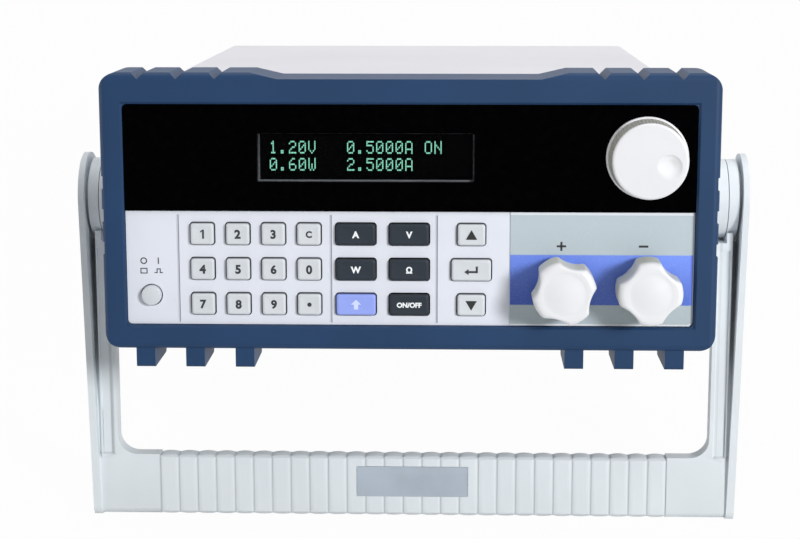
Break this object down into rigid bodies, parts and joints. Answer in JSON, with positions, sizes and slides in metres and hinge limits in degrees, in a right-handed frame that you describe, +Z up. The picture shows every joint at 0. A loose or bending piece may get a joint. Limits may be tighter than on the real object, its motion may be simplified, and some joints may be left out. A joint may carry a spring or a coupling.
{
  "type": "bench electronic load",
  "caption": "Bench electronic load with keypad, dark display window, adjusting knob, lobed input terminals, blue front bumper and a swinging carry handle used as a tilt stand.",
  "frame": {"origin": "on the surface that it stands on, in the middle of everything from side to side and from front to back", "axes": "+X to the right as seen from the front, +Y to the back, +Z up; the case leans back by 15.58 degrees on its swung down handle and its rear feet"},
  "size_m": [0.262, 0.3726, 0.1953],
  "materials": {
    "bumper": "fine moulded grain, satin navy blue",
    "panel": "smooth silver white paint",
    "window": "polished black acrylic, smoked over the display",
    "label": "printed satin film",
    "display": "dark glass with a phosphor glow",
    "board": "solder mask",
    "silicone": "soft matte",
    "zinc": "zinc plated",
    "zinc_sheet": "zinc plated sheet",
    "knob_white": "smooth white plastic",
    "black_plastic": "moulded black plastic",
    "light_key": "satin pale grey",
    "dark_key": "satin charcoal",
    "shift_key": "satin blue",
    "brass": "turned brass",
    "case_paint": "fine textured light grey paint",
    "foot_rubber": "matte rubber",
    "handle": "fine moulded grain, light grey",
    "plate": "brushed bare plate",
    "aluminium": "extruded",
    "core": "varnished laminations",
    "chrome_wire": "bright wire",
    "green_plastic": "moulded green plastic"
  },
  "bodies": {
    "case": {"front_bumper": "bumper", "front_panel": "panel", "display_window": "window", "input_label": "label", "vfd_display": "display", "front_board": "board", "keypad_mat": "silicone", "encoder": "zinc", "power_switch": "black_plastic", "terminal_bases": "knob_white", "terminal_studs": "brass", "top_cover": "case_paint", "chassis_tray": "zinc_sheet", "rear_panel": "case_paint", "rear_feet": "foot_rubber", "case_screws": "zinc", "pivot_hubs": "handle", "heat_sink": "aluminium", "power_transistors": "black_plastic", "main_board": "board", "transformer": "core", "fan_frame": "black_plastic", "fan_guard": "chrome_wire", "mains_inlet": "black_plastic", "selector_housing": "black_plastic", "serial_connector": "zinc", "sense_terminals": "green_plastic"},
    "adjusting_knob": {"encoder_shaft": "zinc", "rotary_knob": "knob_white"},
    "power_button": {"power_button": "light_key"},
    "positive_washer": {"positive_washer": "zinc"},
    "positive_knob": {"positive_knob": "knob_white"},
    "negative_washer": {"negative_washer": "zinc"},
    "negative_knob": {"negative_knob": "knob_white"},
    "handle": {"handle_frame": "handle", "handle_covers": "handle", "handle_plate": "plate"},
    "fan_rotor": {"fan_rotor": "black_plastic"},
    "selector_slider": {"selector_slider": "knob_white"},
    "key_1": {"key_1": "light_key"},
    "key_2": {"key_2": "light_key"},
    "key_3": {"key_3": "light_key"},
    "key_escape": {"key_escape": "light_key"},
    "key_4": {"key_4": "light_key"},
    "key_5": {"key_5": "light_key"},
    "key_6": {"key_6": "light_key"},
    "key_0": {"key_0": "light_key"},
    "key_7": {"key_7": "light_key"},
    "key_8": {"key_8": "light_key"},
    "key_9": {"key_9": "light_key"},
    "key_point": {"key_point": "light_key"},
    "key_current": {"key_current": "dark_key"},
    "key_voltage": {"key_voltage": "dark_key"},
    "key_power": {"key_power": "dark_key"},
    "key_resistance": {"key_resistance": "dark_key"},
    "key_shift": {"key_shift": "shift_key"},
    "key_input": {"key_input": "dark_key"},
    "key_up": {"key_up": "light_key"},
    "key_enter": {"key_enter": "light_key"},
    "key_down": {"key_down": "light_key"}
  },
  "joints": [
    {"name": "key_1_press", "type": "slide", "parent": "case", "child": "key_1", "axis": [0, 0.9632, -0.2686], "range_m": [0, 0.0012], "stiffness_N_per_m": 700, "springref_m": -0.0006},
    {"name": "key_2_press", "type": "slide", "parent": "case", "child": "key_2", "axis": [0, 0.9632, -0.2686], "range_m": [0, 0.0012], "stiffness_N_per_m": 700, "springref_m": -0.0006},
    {"name": "key_3_press", "type": "slide", "parent": "case", "child": "key_3", "axis": [0, 0.9632, -0.2686], "range_m": [0, 0.0012], "stiffness_N_per_m": 700, "springref_m": -0.0006},
    {"name": "key_escape_press", "type": "slide", "parent": "case", "child": "key_escape", "axis": [0, 0.9632, -0.2686], "range_m": [0, 0.0012], "stiffness_N_per_m": 700, "springref_m": -0.0006},
    {"name": "key_4_press", "type": "slide", "parent": "case", "child": "key_4", "axis": [0, 0.9632, -0.2686], "range_m": [0, 0.0012], "stiffness_N_per_m": 700, "springref_m": -0.0006},
    {"name": "key_5_press", "type": "slide", "parent": "case", "child": "key_5", "axis": [0, 0.9632, -0.2686], "range_m": [0, 0.0012], "stiffness_N_per_m": 700, "springref_m": -0.0006},
    {"name": "key_6_press", "type": "slide", "parent": "case", "child": "key_6", "axis": [0, 0.9632, -0.2686], "range_m": [0, 0.0012], "stiffness_N_per_m": 700, "springref_m": -0.0006},
    {"name": "key_0_press", "type": "slide", "parent": "case", "child": "key_0", "axis": [0, 0.9632, -0.2686], "range_m": [0, 0.0012], "stiffness_N_per_m": 700, "springref_m": -0.0006},
    {"name": "key_7_press", "type": "slide", "parent": "case", "child": "key_7", "axis": [0, 0.9632, -0.2686], "range_m": [0, 0.0012], "stiffness_N_per_m": 700, "springref_m": -0.0006},
    {"name": "key_8_press", "type": "slide", "parent": "case", "child": "key_8", "axis": [0, 0.9632, -0.2686], "range_m": [0, 0.0012], "stiffness_N_per_m": 700, "springref_m": -0.0006},
    {"name": "key_9_press", "type": "slide", "parent": "case", "child": "key_9", "axis": [0, 0.9632, -0.2686], "range_m": [0, 0.0012], "stiffness_N_per_m": 700, "springref_m": -0.0006},
    {"name": "key_point_press", "type": "slide", "parent": "case", "child": "key_point", "axis": [0, 0.9632, -0.2686], "range_m": [0, 0.0012], "stiffness_N_per_m": 700, "springref_m": -0.0006},
    {"name": "key_current_press", "type": "slide", "parent": "case", "child": "key_current", "axis": [0, 0.9632, -0.2686], "range_m": [0, 0.0012], "stiffness_N_per_m": 700, "springref_m": -0.0006},
    {"name": "key_voltage_press", "type": "slide", "parent": "case", "child": "key_voltage", "axis": [0, 0.9632, -0.2686], "range_m": [0, 0.0012], "stiffness_N_per_m": 700, "springref_m": -0.0006},
    {"name": "key_power_press", "type": "slide", "parent": "case", "child": "key_power", "axis": [0, 0.9632, -0.2686], "range_m": [0, 0.0012], "stiffness_N_per_m": 700, "springref_m": -0.0006},
    {"name": "key_resistance_press", "type": "slide", "parent": "case", "child": "key_resistance", "axis": [0, 0.9632, -0.2686], "range_m": [0, 0.0012], "stiffness_N_per_m": 700, "springref_m": -0.0006},
    {"name": "key_shift_press", "type": "slide", "parent": "case", "child": "key_shift", "axis": [0, 0.9632, -0.2686], "range_m": [0, 0.0012], "stiffness_N_per_m": 700, "springref_m": -0.0006},
    {"name": "key_input_press", "type": "slide", "parent": "case", "child": "key_input", "axis": [0, 0.9632, -0.2686], "range_m": [0, 0.0012], "stiffness_N_per_m": 700, "springref_m": -0.0006},
    {"name": "key_up_press", "type": "slide", "parent": "case", "child": "key_up", "axis": [0, 0.9632, -0.2686], "range_m": [0, 0.0012], "stiffness_N_per_m": 700, "springref_m": -0.0006},
    {"name": "key_enter_press", "type": "slide", "parent": "case", "child": "key_enter", "axis": [0, 0.9632, -0.2686], "range_m": [0, 0.0012], "stiffness_N_per_m": 700, "springref_m": -0.0006},
    {"name": "key_down_press", "type": "slide", "parent": "case", "child": "key_down", "axis": [0, 0.9632, -0.2686], "range_m": [0, 0.0012], "stiffness_N_per_m": 700, "springref_m": -0.0006},
    {"name": "power_press", "type": "slide", "parent": "case", "child": "power_button", "axis": [0, 0.9632, -0.2686], "range_m": [0, 0.0025], "stiffness_N_per_m": 600, "springref_m": -0.001},
    {"name": "knob_turn", "type": "hinge", "parent": "case", "child": "adjusting_knob", "pos_m": [0.0862, -0.15518, 0.16665], "axis": [0, -0.9632, 0.2686], "continuous": true},
    {"name": "handle_swing", "type": "hinge", "parent": "case", "child": "handle", "pos_m": [0, -0.10093, 0.12701], "axis": [1, 0, 0], "range_deg": [-235, 55]},
    {"name": "fan_spin", "type": "hinge", "parent": "case", "child": "fan_rotor", "pos_m": [0.0536, 0.17322, 0.05024], "axis": [0, 0.9632, -0.2686], "continuous": true},
    {"name": "voltage_select", "type": "slide", "parent": "case", "child": "selector_slider", "axis": [1, 0, 0], "range_m": [0, 0.006]},
    {"name": "positive_travel", "type": "slide", "parent": "case", "child": "positive_washer", "axis": [0, -0.9632, 0.2686], "range_m": [0, 0.005]},
    {"name": "positive_turn", "type": "hinge", "parent": "positive_washer", "child": "positive_knob", "pos_m": [0.0563, -0.16797, 0.12079], "axis": [0, -0.9632, 0.2686], "range_deg": [0, 1440.05]},
    {"name": "negative_travel", "type": "slide", "parent": "case", "child": "negative_washer", "axis": [0, -0.9632, 0.2686], "range_m": [0, 0.005]},
    {"name": "negative_turn", "type": "hinge", "parent": "negative_washer", "child": "negative_knob", "pos_m": [0.0871, -0.16797, 0.12079], "axis": [0, -0.9632, 0.2686], "range_deg": [0, 1440.05]}
  ],
  "couplings": [
    {"joint": "positive_turn", "follows": "positive_travel", "rad_per_m": 5026.5},
    {"joint": "negative_turn", "follows": "negative_travel", "rad_per_m": 5026.5}
  ]
}
